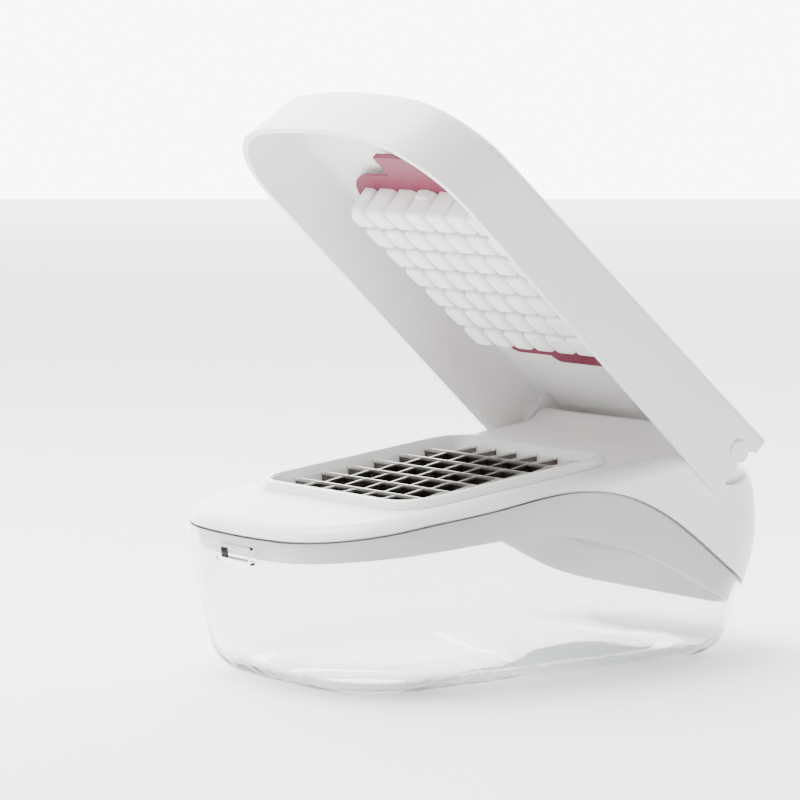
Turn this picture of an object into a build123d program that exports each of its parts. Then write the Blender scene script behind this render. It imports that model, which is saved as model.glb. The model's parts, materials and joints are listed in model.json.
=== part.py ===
from build123d import *
import os
from math import atan2, cos, radians, sin, sqrt, tan

# Hand-press vegetable dicer: clear container, white deck with a square blade grid, and a
# press lid on a snap-on rear hinge. Millimetres, +Z up, front towards -Y, symmetric about
# X = 0. The origin is the centre of the container's foot, on the table. The lid is written
# open, as it stands ready for food.

os.makedirs("parts", exist_ok=True)

# ---------------------------------------------------------------- driving dimensions
PITCH = 12.7                 # size of one diced cube
CELLS = 7                    # cells along each side of the grid
BLADES = CELLS - 1

BODY_HALF = 59.6             # half width of deck and container
BODY_FRONT = -106.3          # front tip at the seam
BODY_REAR = 110.6            # rearmost point of the bulged rear wall
BODY_FRONT_CORNER = 39.7     # front corner radius in plan
BODY_REAR_CORNER = 22.0
FRONT_BOW = 8.0              # how far the front bows out over the full width
CONTAINER_WALL = 2.4
CONTAINER_FLOOR = 3.0
CONTAINER_BOTTOM_ROUND = 15.0
FRONT_RAKE = 11.0            # how far the container's front leans in at the foot
REAR_RAKE = 16.6
SIDE_DRAFT = 0.8
SEAM_GAP = 0.8               # shadow gap between deck and container

BLADE_Y, BLADE_Z = -14.5, 73.8       # centre of the grid, at the blades' cutting edges
DECK_TILT = 6.65             # the grid and the deck rise to the rear
DECK_WALL = 2.6
DECK_DROP = 0.5              # deck surface below the cutting edges
SHOULDER_ROUND = 7.0
SHELF_Z = 74.8               # flat shelf behind the hinge
RIM_RISE = 2.8               # rim above the cutting edges
RIM_TOP_HALF = 50.2
RIM_FLARE = 2.6
RIM_CORNER = 15.0
RIM_EDGE_ROUND = 1.1

CATCH_WIDE, CATCH_HIGH = 23.0, 7.0   # catch at the container's front
CATCH_Z = 50.3

SKIRT_CLEARANCE = 0.4        # skirt to container, all round
SKIRT_WALL = 2.2
SKIRT_RISE = 5.0             # the skirt reaches this far above the seam, inside the deck
SKIRT_POSTS = ((-58.0, -11.0), (60.0, -18.0))    # u and low end w of the posts under the deck
SKIRT_POST_X = 49.0

FRAME_HALF = 48.0            # outside of the blade frame
FRAME_INNER = 46.2           # recess wall at the blades
FRAME_TOP_W = 2.2            # top of the frame's sloped entry, just under the rim
FRAME_ENTRY_LOW_W = -1.6     # the entry slope ends here
FRAME_ENTRY_HALF = 47.6      # entry at its top
FRAME_CORNER = 12.5
FRAME_INNER_CORNER = 8.0
FRAME_ENTRY_CORNER = 12.2
FRAME_DEPTH = 14.0
FRAME_FIT = 0.15
FRAME_FLANGE = 3.4           # flange beyond the frame's wall, under the deck
FRAME_FLANGE_W = -7.2        # top of the flange
FRAME_FLANGE_THICK = 2.2
FRAME_LUG_X, FRAME_LUG_U = 30.0, 55.0
FRAME_LUG_RADIUS = 4.4
BLADE_THICK = 0.5
BLADE_HEIGHT = 10.0
BLADE_SLOT_DEPTH = 1.2
LONG_BLADE_DROP = 0.45       # the long blades lie a little below the cross blades
TOOTH_DEPTH = 0.85           # sawtooth between two cross blades
NOTCH_WIDE, NOTCH_DEEP = 1.7, 1.2    # V notch near each blade end
NOTCH_PLACE = 1.1            # notch centre, in from the recess wall
SLOT_SPARE = 0.05

HINGE_Y, HINGE_Z = 87.0, 80.85
PIN_RADIUS = 4.5
PIN_RUNNING_FIT = 0.08
PIN_ROOT = 50.0              # the pins are pressed in this far from the middle
PIN_END = 63.5
BARREL_RADIUS = 7.3
BARREL_HALF = 56.4           # the barrel between the two lid bosses
HUMP_HALF = 52.0
BOSS_INNER = 57.0            # inner face of the lid's hinge bosses
BOSS_RADIUS = 8.4
RECESS_RADIUS = 13.4         # room for the bosses to turn in the deck's sides
RECESS_WALL = 2.0

OPEN_ANGLE = 46.5            # how far the lid stands open
LID_HALF = 63.0
LID_WALL = 2.5
LID_ROOF = 1.8
LID_LOW_Z = 49.0             # height of the rim at the front, where these plan sizes hold
LID_FRONT = -116.8
LID_CORNER = 40.4
LID_BOW = 7.4
LID_REAR = 94.6              # rear face of the heel
LID_REAR_CORNER = 6.0
HEEL_TOP_CUT = 2.2           # bevel along the heel's top
LID_SIDE_DRAFT = 0.02        # per millimetre of height
LID_FRONT_LEAN = 0.23
LID_CORNER_LEAN = 0.2
LID_CROWN = 1.0              # the roof arches this much over its width
LID_ROOF_SLOPE = 5.6
LID_ROOF_EDGE_Z = 84.2       # edge of the roof beside the grid's centre
LID_RIM_SLOPE = 3.8
LID_RIM_Z = 55.4             # rim beside the grid's centre
LID_WALL_REAR = 90.5         # rear edge of the side walls
LID_EDGE_ROUND = 4.0
LID_INNER_ROUND = 2.0
HEEL_THICK = 2.2
HEEL_LOW = 86.7              # bottom of the heel when closed
HEEL_TOP = 93.4
HEEL_GAP = 0.5               # heel to barrel
HOOK_LOW = 83.9
MOUTH = 6.6                  # snap-in mouth of the hinge sockets
SNAP_WIDE, SNAP_HIGH, SNAP_DEEP = 7.0, 2.4, 2.2

FINGER = 11.0
FINGER_END_W = -6.1          # finger ends below the cutting edges when closed
FINGER_EDGE_ROUND = 1.9      # end edges
FINGER_SIDE_ROUND = 2.3      # long edges
CORNER_CUT = 5.0             # cut long edge of the two front corner fingers
CLIP_WIDE, CLIP_PROUD = 6.4, 0.9     # clip under the comb on the middle finger of the front row
CLIP_LOW_W, CLIP_HIGH_W = 2.2, 5.4
COMB_BOTTOM_W = 5.6
COMB_THICK = 1.1
COMB_FIT = 0.25
COMB_HALF = 48.5
COMB_FRONT, COMB_REAR = -52.0, 63.5
COMB_FRONT_CORNER = 21.0
COMB_REAR_CORNER = 5.0
COMB_TAB_HALF = 13.4
COMB_TAB_ROOT = 14.8         # half width of the pull tab where it leaves the comb
COMB_TAB_FRONT = -63.4
COMB_LIP_THICK, COMB_LIP_HIGH = 1.6, 2.6
COMB_REAR_TAB_HALF, COMB_REAR_TAB_END = 24.5, 67.6
PLATE_HALF = 44.6
PLATE_BOTTOM_W = 6.9

SCREW_RADIUS = 1.5
SCREW_HEAD_RADIUS = 2.8
SCREW_HEAD_HEIGHT = 1.6
SCREW_BITE = 3.4             # thread length in a boss
PUSHER_SCREW_AT = 2 * PITCH
PUSHER_SCREW_BITE = 6.0

BIG = 400.0


# ---------------------------------------------------------------- helpers
def plan_face(half, front, corner, bow, rear, rear_corner, z):
    """Plan outline at height z: bowed front, round front corners, straight sides and rear."""
    bow_radius = (half ** 2 + bow ** 2) / (2 * bow)
    bow_y = front + bow_radius
    corner_x = half - corner
    corner_y = bow_y - sqrt((bow_radius - corner) ** 2 - corner_x ** 2)
    turn = atan2(corner_y - bow_y, corner_x)
    touch = (bow_radius * cos(turn), bow_y + bow_radius * sin(turn))
    mid = (corner_x + corner * cos(turn / 2), corner_y + corner * sin(turn / 2))
    rear_mid = rear_corner * (1 - sqrt(0.5))
    side_rear = rear - rear_corner
    edges = [
        Line((-half + rear_corner, rear, z), (half - rear_corner, rear, z)),
        ThreePointArc((half - rear_corner, rear, z), (half - rear_mid, rear - rear_mid, z),
                      (half, side_rear, z)),
        Line((half, side_rear, z), (half, corner_y, z)),
        ThreePointArc((half, corner_y, z), (mid[0], mid[1], z), (touch[0], touch[1], z)),
        ThreePointArc((touch[0], touch[1], z), (0, front, z), (-touch[0], touch[1], z)),
        ThreePointArc((-touch[0], touch[1], z), (-mid[0], mid[1], z), (-half, corner_y, z)),
        Line((-half, corner_y, z), (-half, side_rear, z)),
        ThreePointArc((-half, side_rear, z), (-half + rear_mid, rear - rear_mid, z),
                      (-half + rear_corner, rear, z)),
    ]
    return Face(Wire(edges))


def profile_prism(line, half=BIG / 4):
    """Solid from a closed outline in the YZ plane, as wide as half on both sides of X = 0."""
    face = Plane.YZ * make_face(line)
    return extrude(face, amount=half, both=True)


def on_deck(u, w):
    """Side-view point (y, z) of deck coordinates: u along the deck, w square to it."""
    tilt = radians(DECK_TILT)
    return BLADE_Y + u * cos(tilt) - w * sin(tilt), BLADE_Z + u * sin(tilt) + w * cos(tilt)


deck_frame = Location((0, BLADE_Y, BLADE_Z), (DECK_TILT, 0, 0))


def deck_box(x0, x1, u0, u1, w0, w1):
    """Box given by its limits in deck coordinates."""
    centre = ((x0 + x1) / 2, (u0 + u1) / 2, (w0 + w1) / 2)
    return deck_frame * Pos(*centre) * Box(x1 - x0, u1 - u0, w1 - w0)


def rounded_prism(half_x, u0, u1, corner, w0, w1, taper=0):
    """Upright prism on a round-cornered rectangle in deck coordinates."""
    plate = Pos(0, (u0 + u1) / 2) * RectangleRounded(2 * half_x, u1 - u0, corner)
    return deck_frame * Pos(0, 0, w0) * extrude(plate, amount=w1 - w0, taper=taper)


def rounded_loft(half0, corner0, w0, half1, corner1, w1):
    """Square frustum with round corners in deck coordinates, from w0 up to w1."""
    low = Pos(0, 0, w0) * RectangleRounded(2 * half0, 2 * half0, corner0)
    high = Pos(0, 0, w1) * RectangleRounded(2 * half1, 2 * half1, corner1)
    return deck_frame * loft([low.face(), high.face()])


def deck_rod(x, u, radius, w0, w1):
    """Round rod square to the deck, from w0 up to w1."""
    return deck_frame * Pos(x, u, (w0 + w1) / 2) * Cylinder(radius, w1 - w0)


def hinge_rod(side, radius, x0, x1):
    """Round rod on the hinge axis, from |x| = x0 out to x1 on one side."""
    return (Pos(side * (x0 + x1) / 2, HINGE_Y, HINGE_Z) * Rot(0, 90, 0)
            * Cylinder(radius, x1 - x0))


def screw_roof_w(x, u):
    """Height w of the underside of the lid's roof over a point of the closed grid."""
    arch = (LID_HALF ** 2 + LID_CROWN ** 2) / (2 * LID_CROWN)
    slope = tan(radians(DECK_TILT - LID_ROOF_SLOPE))
    top = (LID_ROOF_EDGE_Z + LID_CROWN - BLADE_Z) * cos(radians(DECK_TILT))
    return top - LID_ROOF - u * slope - arch + sqrt(arch ** 2 - x ** 2)


def write(name, shape):
    """Write one sub-part as its own STEP file."""
    export_step(shape, f"parts/{name}.step")


def body_levels(inset, low=0.0):
    """Plan outlines of the whole body, from the foot up, moved inwards by inset."""
    levels = [
        (low, SIDE_DRAFT, FRONT_RAKE, REAR_RAKE),
        (25.0, SIDE_DRAFT * 0.5, FRONT_RAKE * 0.52, REAR_RAKE * 0.45),
        (46.0, 0.0, FRONT_RAKE * 0.12, 0.2),
        (60.0, 0.0, 0.0, 0.6),
        (92.0, 0.0, -0.2, 4.6),
    ]
    return [plan_face(BODY_HALF - side - inset, BODY_FRONT + front + inset,
                      BODY_FRONT_CORNER - inset, FRONT_BOW, BODY_REAR - rear - inset,
                      BODY_REAR_CORNER - inset, z)
            for z, side, front, rear in levels]


def body_solid(inset, low=0.0):
    return Solid(loft(body_levels(inset, low)).wrapped)


def below_curve(points, drop):
    """Everything below a smooth side-view curve through (y, z) points, lowered by drop."""
    shifted = [(y, z - drop) for y, z in points]
    curve = Spline(*shifted)
    first, last = shifted[0], shifted[-1]
    base = Polyline(last, (last[0], -BIG), (first[0], -BIG), first)
    return profile_prism(curve + base)


# side-view curves, front to rear
SEAM = [(-115, 56.4), (-92, 59.6), (-60, 63.8), (-30, 66.8), (4, 70.9), (33, 67.4),
        (63, 52.4), (92, 30.9), (115, 20.0)]
SKIRT_EDGE = [(-115, 46.8), (-88, 51.2), (-50, 53.4), (-12, 54.9), (18, 51.6), (50, 41.2),
              (82, 24.9), (115, 12.6)]

# ---------------------------------------------------------------- container
outer_body = body_solid(0)
outer_round = fillet(outer_body.edges().group_by(Axis.Z)[0], CONTAINER_BOTTOM_ROUND)
inner_body = body_solid(CONTAINER_WALL, CONTAINER_FLOOR)
inner_round = fillet(inner_body.edges().group_by(Axis.Z)[0],
                     CONTAINER_BOTTOM_ROUND - CONTAINER_WALL)
container = (outer_round & below_curve(SEAM, SEAM_GAP)) - inner_round
catch = Pos(0, BODY_FRONT + 1.2, CATCH_Z) * Box(CATCH_WIDE, 4.0, CATCH_HIGH)
catch = fillet(catch.edges().filter_by(Axis.Y), 2.0)
catch_window = Pos(0, BODY_FRONT, CATCH_Z) * Box(CATCH_WIDE - 4, 12, CATCH_HIGH - 3)
container = container + (catch - inner_round) - catch_window
write("container", container)

# ---------------------------------------------------------------- deck shell
flat_y, flat_z = on_deck(-140, -DECK_DROP)
rise = tan(radians(DECK_TILT))
hinge_deck_z = flat_z + (HINGE_Y - flat_y) * rise
deck_line = Polyline((flat_y, flat_z), (HINGE_Y, hinge_deck_z), (HINGE_Y, SHELF_Z),
                     (BIG / 2, SHELF_Z), (BIG / 2, -10), (flat_y, -10), (flat_y, flat_z))
deck_block = outer_body & profile_prism(deck_line)
shoulder = [edge for face in deck_block.faces().filter_by(GeomType.PLANE)
            if face.normal_at().Z > 0.9
            for edge in face.edges()
            if edge.bounding_box().size.Y > 0.1 or edge.center().Y > HINGE_Y + 1]
deck_block = fillet(shoulder, SHOULDER_ROUND)

inner_step_y = HINGE_Y - BARREL_RADIUS
inner_z = flat_z - DECK_WALL / cos(radians(DECK_TILT))
inner_line = Polyline((flat_y, inner_z), (inner_step_y, inner_z + (inner_step_y - flat_y) * rise),
                      (inner_step_y, SHELF_Z - DECK_WALL), (BIG / 2, SHELF_Z - DECK_WALL),
                      (BIG / 2, -10), (flat_y, -10), (flat_y, inner_z))
deck_hollow = body_solid(DECK_WALL, -1.0) & profile_prism(inner_line)
hollow_edges = [edge for face in deck_hollow.faces().filter_by(GeomType.PLANE)
                if face.normal_at().Z > 0.9
                for edge in face.edges()
                if edge.bounding_box().size.Y > 0.1 or edge.center().Y > inner_step_y + 1]
deck_hollow = fillet(hollow_edges, SHOULDER_ROUND - DECK_WALL)

rim = rounded_loft(RIM_TOP_HALF + RIM_FLARE, RIM_CORNER + RIM_FLARE, -DECK_DROP - 1.0,
                   RIM_TOP_HALF, RIM_CORNER, RIM_RISE)
rim = fillet(rim.faces().sort_by(Axis.Z)[-1].edges(), RIM_EDGE_ROUND)
barrel = Pos(0, HINGE_Y, HINGE_Z) * Rot(0, 90, 0) * Cylinder(BARREL_RADIUS, 2 * BARREL_HALF)
barrel = fillet(barrel.edges(), 0.8)
hump_line = [(HINGE_Y - 16, inner_z + (HINGE_Y - 16 - flat_y) * rise + 1),
             (HINGE_Y - 16, flat_z + (HINGE_Y - 16 - flat_y) * rise - 0.6),
             (HINGE_Y - 8.5, HINGE_Z + 5.9), (HINGE_Y - 4.5, HINGE_Z + BARREL_RADIUS + 0.1),
             (HINGE_Y, HINGE_Z + BARREL_RADIUS - 0.02), (HINGE_Y, HINGE_Z - 4)]
hump = profile_prism(Polyline(*hump_line, hump_line[0]), HUMP_HALF)
hump_tops = [edge for edge in hump.edges() if edge.center().Z > HINGE_Z + 1.2
             and (abs(edge.center().X) > 1 or HINGE_Y - 10 < edge.center().Y < HINGE_Y - 3)]
hump = fillet(hump_tops, 2.0)

deck = deck_block - deck_hollow + rim + barrel + hump
deck = deck - rounded_prism(FRAME_HALF + FRAME_FIT, -FRAME_HALF - FRAME_FIT,
                            FRAME_HALF + FRAME_FIT, FRAME_CORNER + FRAME_FIT, -30, 20)
lug_places = [(x, u) for x in (-FRAME_LUG_X, FRAME_LUG_X) for u in (-FRAME_LUG_U, FRAME_LUG_U)]
boss_top = -DECK_DROP - DECK_WALL / 2
for x, u in lug_places:
    deck += deck_rod(x, u, FRAME_LUG_RADIUS - 1, FRAME_FLANGE_W, boss_top)
    deck -= deck_rod(x, u, SCREW_RADIUS, FRAME_FLANGE_W - 1, FRAME_FLANGE_W + SCREW_BITE)
deck = deck - below_curve(SEAM, 0)
for side in (-1, 1):
    deck += hinge_rod(side, RECESS_RADIUS + RECESS_WALL, BARREL_HALF - RECESS_WALL,
                      BODY_HALF + 5) & deck_block
    deck -= hinge_rod(side, RECESS_RADIUS, BARREL_HALF, BODY_HALF + 5)
    deck -= hinge_rod(side, PIN_RADIUS, PIN_ROOT, BODY_HALF + 5)
write("deck_shell", deck)

# ---------------------------------------------------------------- inner skirt
skirt_inset = CONTAINER_WALL + SKIRT_CLEARANCE
skirt = (body_solid(skirt_inset, -1.0) - body_solid(skirt_inset + SKIRT_WALL, -2.0))
skirt = (skirt & below_curve(SEAM, -SKIRT_RISE)) - below_curve(SKIRT_EDGE, 0)
skirt = skirt & deck_hollow
for side in (-1, 1):
    for u, low in SKIRT_POSTS:
        post_x = side * SKIRT_POST_X
        post = deck_box(post_x - 1.5, post_x + 1.5, u - 2, u + 2, low, -DECK_DROP - DECK_WALL)
        arm = deck_box(post_x + side * 4 - 4, post_x + side * 4 + 4, u - 2, u + 2, low, low + 3)
        skirt += post + (arm & body_solid(skirt_inset, -1.0))
write("inner_skirt", skirt)

# ---------------------------------------------------------------- blade frame and blades
frame = rounded_prism(FRAME_HALF, -FRAME_HALF, FRAME_HALF, FRAME_CORNER, -FRAME_DEPTH,
                      FRAME_TOP_W)
flange_half = FRAME_HALF + FRAME_FLANGE
flange_low = FRAME_FLANGE_W - FRAME_FLANGE_THICK
frame += rounded_prism(flange_half, -flange_half, flange_half, FRAME_CORNER + FRAME_FLANGE,
                       flange_low, FRAME_FLANGE_W)
for x, u in lug_places:
    frame += deck_rod(x, u, FRAME_LUG_RADIUS, flange_low, FRAME_FLANGE_W)
    frame -= deck_rod(x, u, SCREW_RADIUS, flange_low - 1, FRAME_FLANGE_W + 1)
frame -= rounded_prism(FRAME_INNER, -FRAME_INNER, FRAME_INNER, FRAME_INNER_CORNER, -30, 20)
frame -= rounded_loft(FRAME_INNER, FRAME_INNER_CORNER, FRAME_ENTRY_LOW_W,
                      FRAME_ENTRY_HALF, FRAME_ENTRY_CORNER, FRAME_TOP_W)

blade_end = FRAME_INNER + BLADE_SLOT_DEPTH
places = [(i - (BLADES - 1) / 2) * PITCH for i in range(BLADES)]
half_thick = BLADE_THICK / 2
lap = -BLADE_HEIGHT / 2
slot_half = half_thick + SLOT_SPARE
notch_at = FRAME_INNER - NOTCH_PLACE


def notched_top(top):
    """Front end of a blade's top edge, with its V notch, as (along, w) points."""
    return [(-blade_end, top), (-notch_at - NOTCH_WIDE / 2, top),
            (-notch_at, top - NOTCH_DEEP), (-notch_at + NOTCH_WIDE / 2, top)]


def mirrored(points):
    return [(-along, w) for along, w in reversed(points)]


cross_outline = ([(-blade_end, -BLADE_HEIGHT)] + notched_top(0) + mirrored(notched_top(0))
                 + [(blade_end, -BLADE_HEIGHT)])
cross_face = Plane.XZ * make_face(Polyline(*cross_outline, cross_outline[0]))
cross_plate = extrude(cross_face, amount=half_thick, both=True)
for x in places:
    cross_plate -= Pos(x, 0, lap - BLADE_HEIGHT / 2) * Box(2 * slot_half, 2, BLADE_HEIGHT)

long_top = notched_top(-LONG_BLADE_DROP) + [(places[0], -LONG_BLADE_DROP)]
for near, far in zip(places[:-1], places[1:]):
    long_top += [(near + half_thick, -LONG_BLADE_DROP - TOOTH_DEPTH), (far, -LONG_BLADE_DROP)]
long_top += mirrored(notched_top(-LONG_BLADE_DROP))
long_outline = [(-blade_end, -BLADE_HEIGHT)] + long_top + [(blade_end, -BLADE_HEIGHT)]
long_face = Plane.YZ * make_face(Polyline(*long_outline, long_outline[0]))
long_plate = extrude(long_face, amount=half_thick, both=True)
for u in places:
    long_plate -= Pos(0, u, lap - SLOT_SPARE + BLADE_HEIGHT / 2) * Box(2, 2 * slot_half,
                                                                       BLADE_HEIGHT)

for number, place in enumerate(places, 1):
    cross_blade = deck_frame * Pos(0, place, 0) * cross_plate
    long_blade = deck_frame * Pos(place, 0, 0) * long_plate
    write(f"cross_blade_{number}", cross_blade)
    write(f"long_blade_{number}", long_blade)
    frame -= deck_box(-blade_end, blade_end, place - half_thick, place + half_thick,
                      -BLADE_HEIGHT, 0)
    frame -= deck_box(place - half_thick, place + half_thick, -blade_end, blade_end,
                      -BLADE_HEIGHT, -LONG_BLADE_DROP)
write("blade_frame", frame)

# ---------------------------------------------------------------- screws and hinge pins
frame_screws = []
for x, u in lug_places:
    head_low = flange_low - SCREW_HEAD_HEIGHT
    screw = deck_rod(x, u, SCREW_HEAD_RADIUS, head_low, flange_low)
    screw += deck_rod(x, u, SCREW_RADIUS, flange_low, FRAME_FLANGE_W + SCREW_BITE)
    screw -= deck_box(x - 1.9, x + 1.9, u - 0.4, u + 0.4, head_low, head_low + 0.8)
    screw -= deck_box(x - 0.4, x + 0.4, u - 1.9, u + 1.9, head_low, head_low + 0.8)
    frame_screws.append(screw)
write("blade_frame_screws", Compound(frame_screws))

for side, name in ((-1, "hinge_pin_left"), (1, "hinge_pin_right")):
    pin = hinge_rod(side, PIN_RADIUS, PIN_ROOT, PIN_END)
    pin = chamfer(pin.edges(), 0.4)
    write(name, pin)

# ---------------------------------------------------------------- lid, built closed
def lid_solid(inset, rear, rear_corner):
    """Tapered lid body up to rear, moved inwards by inset at sides and front."""
    faces = []
    for z in (LID_LOW_Z - 20, LID_LOW_Z + 60):
        up = z - LID_LOW_Z
        faces.append(plan_face(LID_HALF - LID_SIDE_DRAFT * up - inset,
                               LID_FRONT + LID_FRONT_LEAN * up + inset,
                               LID_CORNER - LID_CORNER_LEAN * up - inset, LID_BOW,
                               rear, rear_corner, z))
    return Solid(loft(faces).wrapped)


def under_roof(thick):
    """Everything below the arched, sloping roof surface, lowered by thick."""
    arch = (LID_HALF ** 2 + LID_CROWN ** 2) / (2 * LID_CROWN)
    top = Location((0, BLADE_Y, LID_ROOF_EDGE_Z + LID_CROWN), (LID_ROOF_SLOPE, 0, 0))
    return top * Pos(0, 0, -arch) * Rot(90, 0, 0) * Cylinder(arch - thick, BIG)


rim_rise = tan(radians(LID_RIM_SLOPE))
lid_side = Polyline((-BIG / 2, LID_RIM_Z + (-BIG / 2 - BLADE_Y) * rim_rise),
                    (LID_WALL_REAR, LID_RIM_Z + (LID_WALL_REAR - BLADE_Y) * rim_rise),
                    (LID_WALL_REAR, HOOK_LOW), (LID_REAR - 0.4, HEEL_LOW),
                    (LID_REAR, HEEL_TOP), (LID_REAR - HEEL_TOP_CUT, HEEL_TOP + 1),
                    (LID_REAR - HEEL_TOP_CUT, BIG / 2), (-BIG / 2, BIG / 2),
                    (-BIG / 2, LID_RIM_Z + (-BIG / 2 - BLADE_Y) * rim_rise))
lid_outer = lid_solid(0, LID_REAR + 15, LID_REAR_CORNER) & under_roof(0)
lid_outer = fillet([edge for edge in lid_outer.edges()
                    if edge.center().Z > 70 and edge.bounding_box().size.Z < 30], LID_EDGE_ROUND)
lid_inner = (lid_solid(LID_WALL, LID_REAR - HEEL_THICK, LID_REAR_CORNER - HEEL_THICK)
             & under_roof(LID_ROOF))
lid_inner = fillet([edge for edge in lid_inner.edges()
                    if edge.center().Z > 70 and edge.bounding_box().size.Z < 30],
                   LID_INNER_ROUND)
lid_closed = (lid_outer - lid_inner) & profile_prism(lid_side)

lid_outside = lid_outer & profile_prism(lid_side)
for side in (-1, 1):
    web = Pos(side * (BOSS_INNER + LID_HALF) / 2, HINGE_Y, HINGE_Z + 10) * Box(
        LID_HALF - BOSS_INNER, 2 * BOSS_RADIUS, 20)
    web = web & hinge_rod(side, RECESS_RADIUS - 1, BOSS_INNER, LID_HALF)
    boss = (web + hinge_rod(side, BOSS_RADIUS, BOSS_INNER, LID_HALF)) & lid_outside
    lid_closed += boss
lid_closed -= (Pos(0, HINGE_Y, HINGE_Z) * Rot(0, 90, 0)
               * Cylinder(BARREL_RADIUS + HEEL_GAP, 2 * BOSS_INNER))
for side in (-1, 1):
    lid_closed -= hinge_rod(side, PIN_RADIUS + PIN_RUNNING_FIT, BOSS_INNER - 1, LID_HALF + 5)
    lid_closed -= Pos(side * (BOSS_INNER + 5), HINGE_Y + 10, HINGE_Z) * Box(10.02, 20, MOUTH)
snap_z = LID_LOW_Z + 4.5
lid_closed += (Pos(0, LID_FRONT + LID_WALL + SNAP_DEEP / 2, snap_z)
               * Box(SNAP_WIDE, SNAP_DEEP + 2, SNAP_HIGH)) & lid_outer

# ---------------------------------------------------------------- pusher block and its screws
finger_places = [(i - (CELLS - 1) / 2) * PITCH for i in range(CELLS)]


def finger_solid(cut_side):
    """One push finger with round edges; cut_side -1 or 1 cuts that front long edge."""
    finger = Pos(0, 0, FINGER_END_W) * Box(FINGER, FINGER, PLATE_BOTTOM_W + 0.3 - FINGER_END_W,
                                           align=(Align.CENTER, Align.CENTER, Align.MIN))
    long_edges = finger.edges().filter_by(Axis.Z)
    front_edges = long_edges.group_by(Axis.Y)[0].sort_by(Axis.X)
    cut_edges = [front_edges[0]] if cut_side < 0 else [front_edges[-1]] if cut_side > 0 else []
    kept = [edge for edge in long_edges
            if not any((edge.center() - cut.center()).length < 0.1 for cut in cut_edges)]
    finger = fillet(kept, FINGER_SIDE_ROUND)
    if cut_side:
        cut_edge = [edge for edge in finger.edges().filter_by(Axis.Z)
                    if abs(edge.center().X - cut_side * FINGER / 2) < 0.01
                    and edge.center().Y < -FINGER / 2 + 0.01]
        finger = chamfer(cut_edge, CORNER_CUT)
    return fillet(finger.faces().sort_by(Axis.Z)[0].edges(), FINGER_EDGE_ROUND)


front_u = finger_places[0]
outer_x = finger_places[-1]
fingers = []
for x in finger_places:
    for u in finger_places:
        cut_side = 0
        if u == front_u and abs(x) == outer_x:
            cut_side = 1 if x > 0 else -1
        fingers.append(deck_frame * Pos(x, u, 0) * finger_solid(cut_side))
clip_front = front_u - FINGER / 2
clip = deck_box(-CLIP_WIDE / 2, CLIP_WIDE / 2, clip_front - CLIP_PROUD, clip_front + 1,
                CLIP_LOW_W, CLIP_HIGH_W)
plate = rounded_prism(PLATE_HALF, -PLATE_HALF, PLATE_HALF, 4.0, PLATE_BOTTOM_W, 40)
pusher_closed = (plate & under_roof(LID_ROOF)).fuse(*fingers, clip)

pusher_screws_closed = []
for x in (-PUSHER_SCREW_AT, PUSHER_SCREW_AT):
    for u in (-PUSHER_SCREW_AT, PUSHER_SCREW_AT):
        roof_w = screw_roof_w(x, u)
        cone = deck_frame * Pos(x, u, roof_w) * Cone(
            SCREW_RADIUS, SCREW_HEAD_RADIUS, SCREW_HEAD_HEIGHT - 0.3,
            align=(Align.CENTER, Align.CENTER, Align.MIN))
        shank = deck_rod(x, u, SCREW_RADIUS, roof_w - PUSHER_SCREW_BITE, roof_w)
        head_top = roof_w + SCREW_HEAD_HEIGHT - 0.3
        pocket = deck_rod(x, u, SCREW_HEAD_RADIUS, head_top, head_top + 5)
        slots = (deck_box(x - 1.9, x + 1.9, u - 0.4, u + 0.4, head_top - 0.8, head_top)
                 + deck_box(x - 0.4, x + 0.4, u - 1.9, u + 1.9, head_top - 0.8, head_top))
        pusher_screws_closed.append((cone + shank) - slots)
        lid_closed -= cone + shank + pocket
        pusher_closed -= deck_rod(x, u, SCREW_RADIUS, roof_w - PUSHER_SCREW_BITE, roof_w + 1)
        pusher_closed -= deck_rod(x, u, SCREW_HEAD_RADIUS, roof_w, roof_w + 1)

# ---------------------------------------------------------------- cleaning comb
comb_plan = Pos(0, (COMB_FRONT + COMB_REAR) / 2) * Rectangle(2 * COMB_HALF,
                                                            COMB_REAR - COMB_FRONT)
comb_plan = fillet(comb_plan.vertices().group_by(Axis.Y)[0], COMB_FRONT_CORNER)
comb_plan = fillet(comb_plan.vertices().group_by(Axis.Y)[-1], COMB_REAR_CORNER)
tab_outline = Polyline((-COMB_TAB_ROOT, COMB_FRONT + 3), (-COMB_TAB_HALF, COMB_TAB_FRONT),
                       (COMB_TAB_HALF, COMB_TAB_FRONT), (COMB_TAB_ROOT, COMB_FRONT + 3),
                       (-COMB_TAB_ROOT, COMB_FRONT + 3))
comb_plan += make_face(tab_outline)
comb_plan += Pos(0, COMB_REAR_TAB_END - 10) * RectangleRounded(2 * COMB_REAR_TAB_HALF, 20, 4)
comb_flat = Pos(0, 0, COMB_BOTTOM_W) * extrude(comb_plan, amount=COMB_THICK)
lip_middle = COMB_TAB_FRONT + COMB_LIP_THICK / 2
lip = Pos(0, lip_middle, COMB_BOTTOM_W + COMB_LIP_HIGH / 2) * Box(
    2 * COMB_TAB_HALF - 0.4, COMB_LIP_THICK, COMB_LIP_HIGH)
lip = fillet(lip.edges().filter_by(Axis.X).sort_by(Axis.Y)[:2], 0.7)
comb_flat += lip


def comb_hole(cut_side):
    """Hole plan for one finger, with the same cut corner as the finger."""
    wide = FINGER + 2 * COMB_FIT
    plan = RectangleRounded(wide, wide, FINGER_SIDE_ROUND)
    if cut_side:
        corner = Pos(cut_side * wide / 2, -wide / 2) * Rot(0, 0, -45 * cut_side)
        plan -= corner * Rectangle(CORNER_CUT * sqrt(2), 2 * CORNER_CUT)
    return plan


def corner_side(x, u):
    """-1 or 1 for the two front corner fingers, 0 for the others."""
    return 0 if u != front_u or abs(x) != outer_x else (1 if x > 0 else -1)


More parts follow.
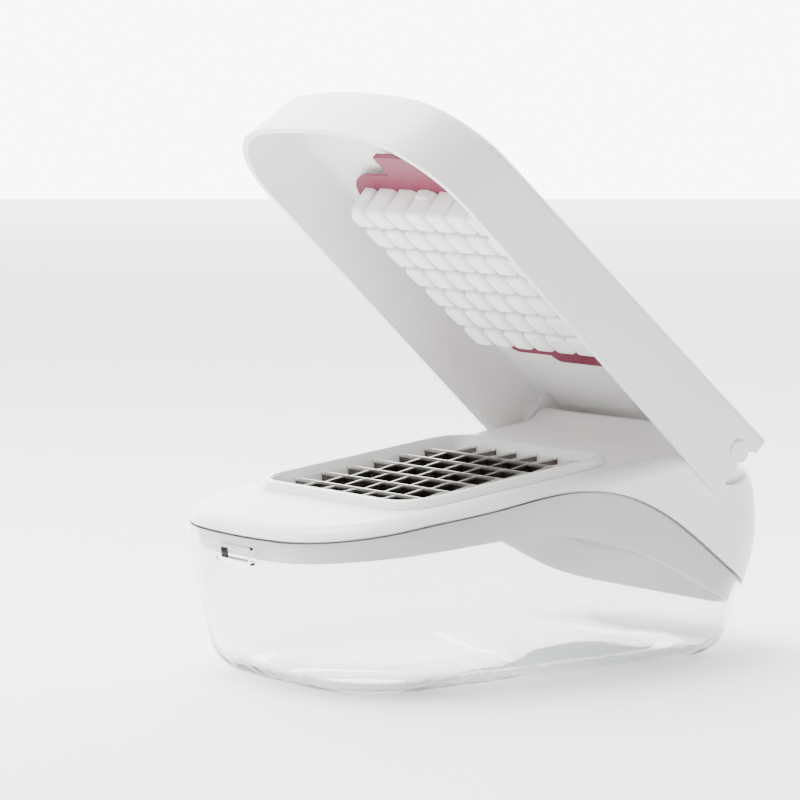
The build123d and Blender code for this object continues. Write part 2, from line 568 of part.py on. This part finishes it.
comb_flat = comb_flat.cut(*[Pos(x, u, COMB_BOTTOM_W - 1)
                            * extrude(comb_hole(corner_side(x, u)), amount=5)
                            for x in finger_places for u in finger_places])
comb_flat -= Pos(0, clip_front, COMB_BOTTOM_W) * Box(CLIP_WIDE + 2 * COMB_FIT,
                                                     2 * (CLIP_PROUD + COMB_FIT), 10)
comb_closed = deck_frame * comb_flat

# ---------------------------------------------------------------- open the lid
hinge = Location((0, HINGE_Y, HINGE_Z))
opened = hinge * Rot(-OPEN_ANGLE, 0, 0) * hinge.inverse()
write("lid_shell", opened * lid_closed)
write("pusher_block", opened * pusher_closed)
write("pusher_screws", opened * Compound(pusher_screws_closed))
write("cleaning_comb", opened * comb_closed)
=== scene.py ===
import bpy
import bmesh
import json
from math import radians, sin, cos
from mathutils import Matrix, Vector

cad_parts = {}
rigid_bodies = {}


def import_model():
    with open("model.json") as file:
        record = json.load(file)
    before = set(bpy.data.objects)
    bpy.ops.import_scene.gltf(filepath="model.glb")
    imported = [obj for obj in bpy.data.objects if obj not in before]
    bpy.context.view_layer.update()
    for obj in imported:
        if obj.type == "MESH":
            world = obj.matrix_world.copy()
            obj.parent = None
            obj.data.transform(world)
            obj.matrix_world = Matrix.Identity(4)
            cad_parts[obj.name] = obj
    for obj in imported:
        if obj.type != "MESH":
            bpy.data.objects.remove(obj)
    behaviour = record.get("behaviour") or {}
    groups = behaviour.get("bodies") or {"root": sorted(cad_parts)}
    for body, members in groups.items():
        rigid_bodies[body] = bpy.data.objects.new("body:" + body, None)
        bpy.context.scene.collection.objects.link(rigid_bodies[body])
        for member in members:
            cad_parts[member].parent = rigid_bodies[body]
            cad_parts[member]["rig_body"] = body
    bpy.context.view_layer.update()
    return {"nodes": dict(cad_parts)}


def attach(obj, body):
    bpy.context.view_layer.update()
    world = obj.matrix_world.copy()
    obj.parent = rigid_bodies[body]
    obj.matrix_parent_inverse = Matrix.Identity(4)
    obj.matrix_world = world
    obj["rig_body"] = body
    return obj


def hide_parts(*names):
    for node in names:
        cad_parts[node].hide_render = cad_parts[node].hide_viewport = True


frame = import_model()
nodes = frame["nodes"]
bpy.ops.object.select_all(action="DESELECT")


# ---------------------------------------------------------------- container
# The clear box that catches the dice: SAN, injection moulded in one shot and polished, so
# the wall is glossy and faintly grey. Its top edge is painted dark, a painted shadow line.
def linear(hex_colour):
    """An sRGB hex colour such as "#ECEBE9" as the linear RGBA that a shader socket takes."""
    channels = [int(hex_colour[i:i + 2], 16) / 255 for i in (1, 3, 5)]
    return [c / 12.92 if c <= 0.04045 else ((c + 0.055) / 1.055) ** 2.4 for c in channels] + [1]


def add_node(material, kind, settings=None, links=None):
    """Adds a node, sets its attributes and inputs, and links its inputs to other nodes' outputs."""
    node = material.node_tree.nodes.new(kind)
    for key, value in (settings or {}).items():
        if isinstance(key, str) and hasattr(node, key):
            setattr(node, key, value)
        else:
            node.inputs[key].default_value = value
    for key, (source, output) in (links or {}).items():
        material.node_tree.links.new(source.outputs[output], node.inputs[key])
    return node


def new_material(name):
    """An empty node material and its output node."""
    material = bpy.data.materials.new(name)
    material.use_nodes = True
    material.node_tree.nodes.clear()
    return material, add_node(material, "ShaderNodeOutputMaterial")


WELD_DISTANCE = 0.000004
EDGE_ANGLE = 32              # degrees; sharper edges than this stay crisp


def smooth_copy(node_name, angle=EDGE_ANGLE):
    """A welded, smooth-shaded copy of a CAD node that stands for it, riding on the same body."""
    source = nodes[node_name]
    piece = bpy.data.objects.new(node_name + "_moulded", source.data.copy())
    bpy.context.scene.collection.objects.link(piece)
    mesh = bmesh.new()
    mesh.from_mesh(piece.data)
    bmesh.ops.remove_doubles(mesh, verts=mesh.verts, dist=WELD_DISTANCE)
    mesh.to_mesh(piece.data)
    mesh.free()
    piece.data.materials.clear()
    if piece.data.has_custom_normals:
        bpy.context.view_layer.objects.active = piece
        bpy.ops.mesh.customdata_custom_splitnormals_clear()
    bpy.ops.object.select_all(action="DESELECT")
    piece.select_set(True)
    bpy.context.view_layer.objects.active = piece
    bpy.ops.object.shade_smooth_by_angle(angle=radians(angle))
    piece.select_set(False)
    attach(piece, source["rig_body"])
    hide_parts(node_name)
    return piece


def finished_piece(node_name, material, angle=EDGE_ANGLE):
    """A smooth copy of a CAD node in its material."""
    piece = smooth_copy(node_name, angle)
    piece.data.materials.append(material)
    return piece


clear_san, output = new_material("clear_moulded_SAN")
clear_coords = add_node(clear_san, "ShaderNodeTexCoord")
clear_flow = add_node(clear_san, "ShaderNodeTexNoise", {"Scale": 30, "Detail": 2},
                      {"Vector": (clear_coords, "Object")})
clear_bump = add_node(clear_san, "ShaderNodeBump", {"Strength": 0.03, "Distance": 0.0004},
                      {"Height": (clear_flow, "Fac")})
clear_body = add_node(clear_san, "ShaderNodeBsdfPrincipled",
                      {"Base Color": linear("#F4F6F6"), "Roughness": 0.03, "IOR": 1.5,
                       "Transmission Weight": 1.0}, {"Normal": (clear_bump, "Normal")})
clear_rays = add_node(clear_san, "ShaderNodeLightPath")
clear_shadow = add_node(clear_san, "ShaderNodeBsdfTransparent", {"Color": linear("#E9EBEC")})
clear_wall = add_node(clear_san, "ShaderNodeMixShader")
clear_san.node_tree.links.new(clear_rays.outputs["Is Shadow Ray"], clear_wall.inputs[0])
clear_san.node_tree.links.new(clear_body.outputs["BSDF"], clear_wall.inputs[1])
clear_san.node_tree.links.new(clear_shadow.outputs["BSDF"], clear_wall.inputs[2])
clear_san.node_tree.links.new(clear_wall.outputs["Shader"], output.inputs["Surface"])

# The cut top edge is given a little rougher gloss and a dark grey colour: painted shade that
# stands for the shadowed seam, so it reads as a dark line under the white deck.
rim_shadow_san, output = new_material("clear_SAN_rim_painted_shadow")
edge_coords = add_node(rim_shadow_san, "ShaderNodeTexCoord")
edge_grain = add_node(rim_shadow_san, "ShaderNodeTexNoise", {"Scale": 700, "Detail": 2},
                      {"Vector": (edge_coords, "Object")})
edge_gloss = add_node(rim_shadow_san, "ShaderNodeMapRange", {"To Min": 0.18, "To Max": 0.3},
                      {"Value": (edge_grain, "Fac")})
rim_shadow_body = add_node(rim_shadow_san, "ShaderNodeBsdfPrincipled",
                     {"Base Color": linear("#2E3032"), "IOR": 1.5},
                     {"Roughness": (edge_gloss, "Result")})
rim_shadow_san.node_tree.links.new(rim_shadow_body.outputs["BSDF"], output.inputs["Surface"])
container = finished_piece("container", clear_san)
container.data.materials.append(rim_shadow_san)
EDGE_LOWEST = 0.022          # the rounded floor lies below this height
CATCH_TOP, CATCH_HALF, CATCH_REAR = 0.0545, 0.0125, -0.085
UPWARD = 0.6                 # a normal's Z above this counts as facing up
# Upward faces of the top rim take the dark rim material: the painted shadow line.
for face in container.data.polygons:
    x, y, z = face.center
    on_catch = z < CATCH_TOP and abs(x) < CATCH_HALF and y < CATCH_REAR
    if face.normal.z > UPWARD and z > EDGE_LOWEST and not on_catch:
        face.material_index = 1

# ---------------------------------------------------------------- deck, skirt and blade frame
# The white body above the container: ABS, injection moulded in a fine-textured mould, so it
# has a soft gloss and a very fine grain.
white_abs, output = new_material("white_moulded_ABS")
white_coords = add_node(white_abs, "ShaderNodeTexCoord")
white_grain = add_node(white_abs, "ShaderNodeTexNoise", {"Scale": 1400, "Detail": 3},
                       {"Vector": (white_coords, "Object")})
white_waves = add_node(white_abs, "ShaderNodeTexNoise", {"Scale": 22, "Detail": 2},
                       {"Vector": (white_coords, "Object")})
white_tone = add_node(white_abs, "ShaderNodeMix", {"data_type": "RGBA", "A": linear("#EFEEEC"),
                                                   "B": linear("#F4F3F2")},
                      {"Factor": (white_waves, "Fac")})
white_gloss = add_node(white_abs, "ShaderNodeMapRange", {"To Min": 0.27, "To Max": 0.38},
                       {"Value": (white_grain, "Fac")})
white_bump = add_node(white_abs, "ShaderNodeBump", {"Strength": 0.12, "Distance": 0.00006},
                      {"Height": (white_grain, "Fac")})
white_body = add_node(white_abs, "ShaderNodeBsdfPrincipled", {"IOR": 1.52},
                      {"Roughness": (white_gloss, "Result"), "Normal": (white_bump, "Normal")})
white_abs.node_tree.links.new(white_tone.outputs[2], white_body.inputs["Base Color"])
white_abs.node_tree.links.new(white_body.outputs["BSDF"], output.inputs["Surface"])
for name in ("deck_shell", "inner_skirt", "blade_frame", "hinge_pin_left", "hinge_pin_right"):
    finished_piece(name, white_abs)

# ---------------------------------------------------------------- blades
# Twelve strips of stainless blade steel, half-lapped into a grid and held by their ends in
# the blade frame. Grinding along their length leaves fine streaks in the gloss.
blade_steel, output = new_material("ground_stainless_steel")
steel_coords = add_node(blade_steel, "ShaderNodeTexCoord")
steel_map = add_node(blade_steel, "ShaderNodeMapping", {"Scale": (400, 400, 9000)},
                     {"Vector": (steel_coords, "Object")})
steel_grain = add_node(blade_steel, "ShaderNodeTexNoise", {"Scale": 1, "Detail": 3},
                       {"Vector": (steel_map, "Vector")})
steel_gloss = add_node(blade_steel, "ShaderNodeMapRange", {"To Min": 0.22, "To Max": 0.42},
                       {"Value": (steel_grain, "Fac")})
# The grid leans back with the deck. Its cutting edges are freshly ground and painted bright as a
# painted highlight; below them the rolled sides are painted duller and darker as painted shade.
GRID_LEAN = radians(6.65)
GRID_CENTRE = Vector((0, -0.0145, 0.0738))
GROUND_HIGHLIGHT_BAND = 0.0008
grid_up = Vector((0, -sin(GRID_LEAN), cos(GRID_LEAN)))
steel_height = add_node(blade_steel, "ShaderNodeVectorMath",
                        {"operation": "DOT_PRODUCT", 1: grid_up},
                        {0: (steel_coords, "Object")})
edge_height = grid_up.dot(GRID_CENTRE)
ground_edge_highlight = add_node(blade_steel, "ShaderNodeMapRange",
                        {"From Min": edge_height - 2 * GROUND_HIGHLIGHT_BAND,
                         "From Max": edge_height - GROUND_HIGHLIGHT_BAND},
                        {"Value": (steel_height, "Value")})
# Painted shade on the blade sides, painted highlight on the ground top band.
steel_tone_highlight_and_shade = add_node(blade_steel, "ShaderNodeMix",
                      {"data_type": "RGBA", "A": linear("#6E6965"), "B": linear("#E2DFDB")},
                      {"Factor": (ground_edge_highlight, "Result")})
steel_body = add_node(blade_steel, "ShaderNodeBsdfPrincipled", {"Metallic": 1.0},
                      {"Roughness": (steel_gloss, "Result")})
blade_steel.node_tree.links.new(steel_tone_highlight_and_shade.outputs[2], steel_body.inputs["Base Color"])
blade_steel.node_tree.links.new(steel_body.outputs["BSDF"], output.inputs["Surface"])
BLADES_IN_ROW = 6
BLADE_EDGE_ANGLE = 20
for number in range(1, BLADES_IN_ROW + 1):
    for row in ("cross_blade", "long_blade"):
        finished_piece(f"{row}_{number}", blade_steel, BLADE_EDGE_ANGLE)

# ---------------------------------------------------------------- screws
# Self-tapping screws of plated steel with a cross slot. Four hold the blade frame under the
# deck and four the push block in the lid. The plating gives a slightly uneven shine.
screw_steel, output = new_material("plated_screw_steel")
screw_coords = add_node(screw_steel, "ShaderNodeTexCoord")
screw_spots = add_node(screw_steel, "ShaderNodeTexNoise", {"Scale": 900, "Detail": 2},
                       {"Vector": (screw_coords, "Object")})
screw_gloss = add_node(screw_steel, "ShaderNodeMapRange", {"To Min": 0.2, "To Max": 0.4},
                       {"Value": (screw_spots, "Fac")})
screw_body = add_node(screw_steel, "ShaderNodeBsdfPrincipled",
                      {"Base Color": linear("#B9B8B6"), "Metallic": 1.0},
                      {"Roughness": (screw_gloss, "Result")})
screw_steel.node_tree.links.new(screw_body.outputs["BSDF"], output.inputs["Surface"])
for name in ("blade_frame_screws", "pusher_screws"):
    finished_piece(name, screw_steel)

# ---------------------------------------------------------------- lid and push block
# The press lid and its block of fingers, moulded in the same white ABS as the deck. The
# block is screwed up into the lid.
for name in ("lid_shell", "pusher_block"):
    finished_piece(name, white_abs)

# ---------------------------------------------------------------- cleaning comb
# The thin comb that strips food off the fingers: polypropylene dyed magenta, with a soft
# satin surface from its mould.
magenta_pp, output = new_material("magenta_moulded_polypropylene")
comb_coords = add_node(magenta_pp, "ShaderNodeTexCoord")
comb_grain = add_node(magenta_pp, "ShaderNodeTexNoise", {"Scale": 1200, "Detail": 3},
                      {"Vector": (comb_coords, "Object")})
comb_gloss = add_node(magenta_pp, "ShaderNodeMapRange", {"To Min": 0.42, "To Max": 0.54},
                      {"Value": (comb_grain, "Fac")})
comb_bump = add_node(magenta_pp, "ShaderNodeBump", {"Strength": 0.15, "Distance": 0.00006},
                     {"Height": (comb_grain, "Fac")})
comb_body = add_node(magenta_pp, "ShaderNodeBsdfPrincipled",
                     {"Base Color": linear("#6E0030"), "IOR": 1.49,
                      "Subsurface Weight": 0.08, "Subsurface Scale": 0.002},
                     {"Roughness": (comb_gloss, "Result"), "Normal": (comb_bump, "Normal")})
magenta_pp.node_tree.links.new(comb_body.outputs["BSDF"], output.inputs["Surface"])
finished_piece("cleaning_comb", magenta_pp)

# ---------------------------------------------------------------- table, light and camera
# A pale table under soft studio light, seen from the front right, a little above the deck.
bpy.ops.mesh.primitive_plane_add(size=12, location=(0, 0, 0))
table = bpy.context.object
table.name = "table"
table_white, output = new_material("matt_white_table")
table_body = add_node(table_white, "ShaderNodeBsdfPrincipled",
                      {"Base Color": linear("#FFFFFF"), "Roughness": 0.9,
                       "Specular IOR Level": 0.1, "Emission Color": linear("#FFFFFF"),
                       "Emission Strength": 0.35})
table_white.node_tree.links.new(table_body.outputs["BSDF"], output.inputs["Surface"])
table.data.materials.append(table_white)

# A lit white sweep stands well behind the dicer and keeps the ground behind it clean.
bpy.ops.mesh.primitive_plane_add(size=9, location=(-3.2, 2.4, 0),
                                 rotation=(radians(90), 0, radians(53.05)))
sweep = bpy.context.object
sweep.name = "white_sweep"
sweep_white, output = new_material("lit_white_sweep")
sweep_glow = add_node(sweep_white, "ShaderNodeEmission",
                      {"Color": linear("#FFFFFF"), "Strength": 9.0})
sweep_white.node_tree.links.new(sweep_glow.outputs["Emission"], output.inputs["Surface"])
sweep.data.materials.append(sweep_white)

world = bpy.data.worlds.new("studio")
world.use_nodes = True
bpy.context.scene.world = world
world.node_tree.nodes["Background"].inputs["Color"].default_value = linear("#FFFFFF")
world.node_tree.nodes["Background"].inputs["Strength"].default_value = 0.5


def softbox(name, place, target, width, height, power):
    """A rectangular area lamp at place, turned towards target."""
    lamp_data = bpy.data.lights.new(name, "AREA")
    lamp_data.shape = "RECTANGLE"
    lamp_data.size, lamp_data.size_y = width, height
    lamp_data.energy = power
    lamp = bpy.data.objects.new(name, lamp_data)
    bpy.context.scene.collection.objects.link(lamp)
    lamp.location = place
    lamp.rotation_euler = (Vector(target) - Vector(place)).to_track_quat("-Z", "Y").to_euler()


softbox("top_softbox", (-0.3, -0.3, 1.3), (0, 0, 0.1), 1.0, 1.0, 62)
softbox("front_softbox", (-0.9, -1.2, 0.7), (0, 0, 0.1), 0.9, 0.9, 10)

AZIMUTH, ELEVATION = radians(53.05), radians(5.67)
EYE = (1.1189, -0.8716, 0.2419)
LENS_MM, SENSOR_MM = 166.5, 36
towards_eye = Vector((sin(AZIMUTH) * cos(ELEVATION), -cos(AZIMUTH) * cos(ELEVATION),
                      sin(ELEVATION)))
camera_data = bpy.data.cameras.new("camera")
camera_data.lens, camera_data.sensor_width = LENS_MM, SENSOR_MM
camera_data.clip_start, camera_data.clip_end = 0.05, 30
camera = bpy.data.objects.new("camera", camera_data)
bpy.context.scene.collection.objects.link(camera)
camera.location = EYE
camera.rotation_mode = "QUATERNION"
camera.rotation_quaternion = (-towards_eye).to_track_quat("-Z", "Y")
bpy.context.scene.camera = camera
